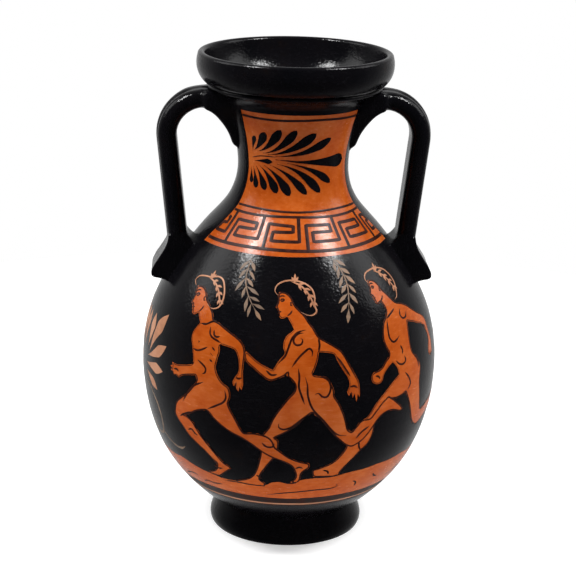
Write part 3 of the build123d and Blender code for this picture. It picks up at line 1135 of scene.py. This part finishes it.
RIGHT_DRAWN = [
    [(46.5, 122.5), (45.5, 118), (45.5, 113.5), (47.5, 111.5), (50, 112), (52.5, 113.5)],
    [(46.5, 123), (50, 124.5), (54.5, 126.5)],
    [(59, 125.5), (57.5, 122.5), (59, 120.7), (62, 121), (63.5, 123)],
    [(47.5, 102.5), (49.5, 100.5), (52.5, 99.8), (54.5, 101), (54, 103.5)],
    [(22.6, 68.3), (26.7, 72), (29.7, 73.7)],
    [(27, 66), (27.5, 62.5), (29, 60)],
    [(53.5, 95.4), (56.5, 92), (57.6, 88.6), (55.4, 86.2)],
    [(61.4, 102.6), (64.6, 99), (65.6, 95)],
    [(52, 109), (53, 106.4), (52.6, 104.6)],
    [(34, 97.6), (35.8, 97.2), (36.6, 95.8)],
    [(76.4, 113), (78.8, 112), (80.4, 110)],
    [(10, 50.8), (12.6, 49.6), (13.2, 47.8)],
]

# A plain profile facing left, in shares of the head's height: the face front at 0 across, the chin
# at 0 up. It runs from the nape along the hairline, down the face and back under the jaw.
PROFILE = [
    (0.60, 0.24), (0.50, 0.40), (0.45, 0.58), (0.36, 0.72), (0.22, 0.80), (0.08, 0.81), (0.035, 0.72),
    (0.03, 0.63), (0.04, 0.57), (-0.01, 0.44), (-0.045, 0.35), (-0.02, 0.31), (0.03, 0.29), (0.01, 0.245),
    (0.035, 0.20), (0.02, 0.165), (0.045, 0.125), (0.035, 0.06), (0.07, 0.01), (0.15, 0.0), (0.26, 0.04),
]

# Brow, upper and lower lid, pupil, nostril, mouth, ear and jaw, in the same shares
FEATURES = [
    [(0.07, 0.655), (0.15, 0.69), (0.25, 0.665)],
    [(0.08, 0.555), (0.15, 0.595), (0.24, 0.555)],
    [(0.09, 0.545), (0.15, 0.52), (0.23, 0.55)],
    [(0.14, 0.575), (0.15, 0.545), (0.155, 0.57)],
    [(0.015, 0.32), (0.045, 0.335)],
    [(0.03, 0.20), (0.08, 0.205), (0.11, 0.215)],
    [(0.46, 0.47), (0.40, 0.46), (0.40, 0.37), (0.45, 0.35)],
    [(0.26, 0.06), (0.36, 0.13), (0.42, 0.22)],
]

# For each runner: where the chin is, the head's real height and tilt, and the hair's edge and wreath
HEADS = {
    "left": {
        "chin": (-66.1, 122.6),
        "height": 17.4,
        "tilt": 0.30,
        "hair": [
            (-71.5, 136.5), (-74, 138.6), (-72.6, 140.8), (-68, 142), (-62, 142.4), (-57, 143.5),
            (-53, 142.5), (-50, 139), (-48.5, 135), (-48.4, 131.5), (-50, 129), (-54, 128), (-57.6, 129.6),
        ],
        "wreath": [(-63.5, 141.8), (-58.5, 140.6), (-54, 137.6), (-51, 133.6), (-49.4, 130.4)],
    },
    "middle": {
        "chin": (-15.2, 127.4),
        "height": 15.6,
        "tilt": 0.12,
        "hair": [
            (-16.4, 138.6), (-18.2, 140.6), (-17.4, 143.2), (-14, 145.2), (-9, 146), (-4, 145.6), (0.8, 144),
            (4, 141.4), (5, 137.6), (4.6, 134), (5.4, 131), (3, 129.2), (0, 129.4), (-3, 130.8),
        ],
        "wreath": [(-8.5, 145.4), (-3.6, 143.8), (0.4, 140.8), (3.0, 136.8), (4.2, 133)],
    },
    "right": {
        "chin": (41.6, 130.7),
        "height": 15.0,
        "tilt": 0.05,
        "hair": [
            (42.6, 141.2), (40.8, 143.4), (42.2, 146), (46, 147.3), (51, 147.8), (56, 147.4), (61, 145.4),
            (64, 142), (64.8, 138.6), (63, 134.4), (60.8, 131.4), (58, 130.4),
        ],
        "wreath": [(50.5, 146.6), (55, 144.8), (59, 141.6), (61.6, 137.4), (62.4, 134)],
    },
}


def on_head(points, head):
    """Places of points given in shares of the head's height."""
    c, s = math.cos(head["tilt"]), math.sin(head["tilt"])
    scale = radius_at(head["chin"][1] + head["height"] / 2) / UNROLL_RADIUS
    placed = []
    for x, y in points:
        x, y = x * head["height"], y * head["height"]
        placed.append((head["chin"][0] + (x * c - y * s) / scale, head["chin"][1] + x * s + y * c))
    return placed


def inset_lines(outline, inset):
    """Lines drawn a little inside an outline, left out where the shape is too narrow for them."""
    ahead = np.roll(outline, -1, axis=0)
    area = np.sum(outline[:, 0] * ahead[:, 1] - ahead[:, 0] * outline[:, 1])
    way = 1 if area > 0 else -1
    moved = outline + way * inset * sideways(outline, ahead - np.roll(outline, 1, axis=0))
    scale = radius_at(outline[:, 1]) / UNROLL_RADIUS
    across, along = (moved[:, None] - outline[None]).transpose(2, 0, 1)
    apart = np.hypot(across * scale[:, None], along)
    good = (apart.min(1) > inset * 0.9) & inside(moved, outline)
    lines, run_points = [], []
    for point, keep in zip(moved, good):
        if keep and run_points and np.hypot(*(point - run_points[-1])) < 3:
            run_points.append(point)
            continue
        if len(run_points) > 8:
            lines.append(run_points)
        run_points = [point] if keep else []
    if len(run_points) > 8:
        lines.append(run_points)
    return [line[::2] for line in lines]


def wreath_leaves(stem, rng):
    """Pairs of narrow leaves swept back along a wreath's stem, and a spiky tuft where it starts."""
    path = through(stem, 0.5)
    swept = []
    for share in (0.22, 0.44, 0.66, 0.88):
        index = int(share * (len(path) - 2))
        here, heading = path[index], heading_at(path, index)
        swept += [(here, heading + way * rng.uniform(0.45, 0.65), rng.uniform(2.8, 3.6)) for way in (-1, 1)]
    tuft = path[int(0.12 * len(path))]
    swept += [(tuft, math.radians(angle), reach) for angle, reach in ((118, 3.2), (88, 4.6), (60, 3.4))]
    leaves = []
    for here, angle, reach in swept:
        tip = (reach * math.cos(angle), reach * math.sin(angle))
        bend = (tip[0] * 0.5, tip[1] * 0.5 + 0.3)
        leaves.append(teardrop(*about([(0.0, 0.0), bend, tip], here), 1.15, True, 12, 0.5))
    return leaves


def build_runner(name, body, drawn):
    """One runner: the reserved figure, its contour and inner lines, and its hair and wreath."""
    lift, head = RUNNERS[name], HEADS[name]
    outline = refined(body + on_head(PROFILE, head), 1.0, True, math.radians(62))
    painted(f"runner_{name}", [outline], lift, CLAY, gap=2.2)
    features = [on_head(line, head) for line in FEATURES]
    for part, lines, width, material in (
        ("contour", inset_lines(outline, 0.4), FINE_LINE, RELIEF_SLIP),
        ("lines", drawn, LINE, RELIEF_SLIP),
        ("features", features, FINE_LINE, RELIEF_SLIP),
        ("hair_edge", [head["hair"]], HAIR_LINE, PALE),
        ("wreath", [head["wreath"]], FINE_LINE, PALE),
    ):
        painted_lines(f"runner_{name}_{part}", lines, width, lift + RELIEF, material)
    leaves = wreath_leaves(head["wreath"], random.Random(len(name)))
    painted(f"runner_{name}_wreath_leaves", leaves, lift + RELIEF, PALE, gap=1.6)


def build_decoration():
    build_ground()
    for side, across in (("front", 0.0), ("back", BACK)):
        build_neck(side, across)
        build_meander(side, across)
    build_side_palmettes()
    build_sprigs()
    build_runner("left", LEFT_BODY, LEFT_DRAWN)
    build_runner("middle", MIDDLE_BODY, MIDDLE_DRAWN)
    build_runner("right", RIGHT_BODY, RIGHT_DRAWN)


build_vessel()
for handle in ("handle_left", "handle_right"):
    build_handle(handle)
build_decoration()


# ---------------------------------------------------------------- camera, lights and floor

CAMERA_DISTANCE = 0.860
CAMERA_HEIGHT = 0.38204
CAMERA_AZIMUTH = math.radians(3.0)
CAMERA_PITCH = math.radians(16.833)
CAMERA_ROLL = math.radians(1.35)
CAMERA_LENS = 113.24
CAMERA_SHIFT = -0.004

# Pairs of soft lights, by azimuth and elevation in degrees, distance, width, height and power
LIGHTS = {
    "softbox": (67, 55, 0.95, 0.09, 0.26, 9.5),
    "side_panel": (95, 36, 0.90, 0.40, 0.45, 2.4),
}
AIM_SHARE = 0.55

FLOOR_RADIUS = 0.5
FLOOR_SIDES = 96
FLOOR_GLOW = 0.5
FLOOR_GREYS = (0.68, 0.71)
ROOM_GREYS = (0.03, 0.60)
LIGHT_FROM_BELOW = 0.3


def build_camera():
    data = bpy.data.cameras.new("camera")
    data.lens = CAMERA_LENS
    data.sensor_width = 36.0
    data.shift_x = CAMERA_SHIFT
    camera = bpy.data.objects.new("camera", data)
    aim = Euler((math.pi / 2 - CAMERA_PITCH, 0, -CAMERA_AZIMUTH)).to_matrix().to_4x4()
    across, back = -CAMERA_DISTANCE * math.sin(CAMERA_AZIMUTH), -CAMERA_DISTANCE * math.cos(CAMERA_AZIMUTH)
    place = Vector((across, back, CAMERA_HEIGHT))
    camera.matrix_world = Matrix.Translation(place) @ aim @ Matrix.Rotation(CAMERA_ROLL, 4, "Z")
    bpy.context.scene.collection.objects.link(camera)
    bpy.context.scene.camera = camera


def softbox(name, azimuth, elevation, distance, width, height, power):
    """A soft light aimed at the vase, at an azimuth from the camera's side of it."""
    data = bpy.data.lights.new(name, "AREA")
    data.shape = "RECTANGLE"
    data.size = width
    data.size_y = height
    data.energy = power
    light = bpy.data.objects.new(name, data)
    turn, lift = math.radians(azimuth) - CAMERA_AZIMUTH, math.radians(elevation)
    aim = Vector((0, 0, (cad_box[0][2] + cad_box[1][2]) * AIM_SHARE))
    away = Vector((math.sin(turn) * math.cos(lift), -math.cos(turn) * math.cos(lift), math.sin(lift)))
    light.location = aim + distance * away
    light.rotation_euler = away.to_track_quat("Z", "Y").to_euler()
    bpy.context.scene.collection.objects.link(light)


def build_world():
    """White behind everything, and a room that is bright only behind and below the vase."""
    world = bpy.data.worlds.new("studio")
    world.use_nodes = True
    tree = world.node_tree
    background = tree.nodes["Background"]
    direction = parts_of(tree, tree.nodes.new("ShaderNodeTexCoord").outputs["Generated"])
    below = calculate(tree, "MULTIPLY", direction[2], -LIGHT_FROM_BELOW)
    toward = calculate(tree, "ADD", direction[1], calculate(tree, "MAXIMUM", below, 0.0))
    share = calculate(tree, "MULTIPLY_ADD", toward, 0.5, 0.5)
    room = grey_ramp(tree, share, *zip((0.40, 0.95), ROOM_GREYS))
    seen = tree.nodes.new("ShaderNodeLightPath").outputs["Is Camera Ray"]
    tree.links.new(blended(tree, seen, room, (1.0, 1.0, 1.0)), background.inputs["Color"])
    background.inputs["Strength"].default_value = 1.0
    bpy.context.scene.world = world


def build_floor():
    """A pale round floor that glows a little and isn't seen in the gloss."""
    material, tree, shader = node_material("pale_floor")
    mottle = noise(tree, object_place(tree), 6, 3, 0.5)
    tree.links.new(grey_ramp(tree, mottle, *zip((0.3, 0.7), FLOOR_GREYS)), shader.inputs["Base Color"])
    shader.inputs["Roughness"].default_value = 0.9
    shader.inputs["Emission Color"].default_value = (1.0, 1.0, 1.0, 1.0)
    shader.inputs["Emission Strength"].default_value = FLOOR_GLOW
    mesh = bpy.data.meshes.new("floor")
    angles = [2 * math.pi * k / FLOOR_SIDES for k in range(FLOOR_SIDES)]
    rim = [(FLOOR_RADIUS * math.cos(a), FLOOR_RADIUS * math.sin(a), 0) for a in angles]
    mesh.from_pydata(rim, [], [tuple(range(FLOOR_SIDES))])
    mesh.materials.append(material)
    floor = bpy.data.objects.new("floor", mesh)
    floor.location.z = cad_box[0][2]
    floor.visible_glossy = False
    bpy.context.scene.collection.objects.link(floor)


build_camera()
build_world()
build_floor()
for light, (azimuth, *placing) in LIGHTS.items():
    softbox(f"{light}_right", azimuth, *placing)
    softbox(f"{light}_left", -azimuth, *placing)
bpy.context.scene.view_settings.view_transform = "Standard"
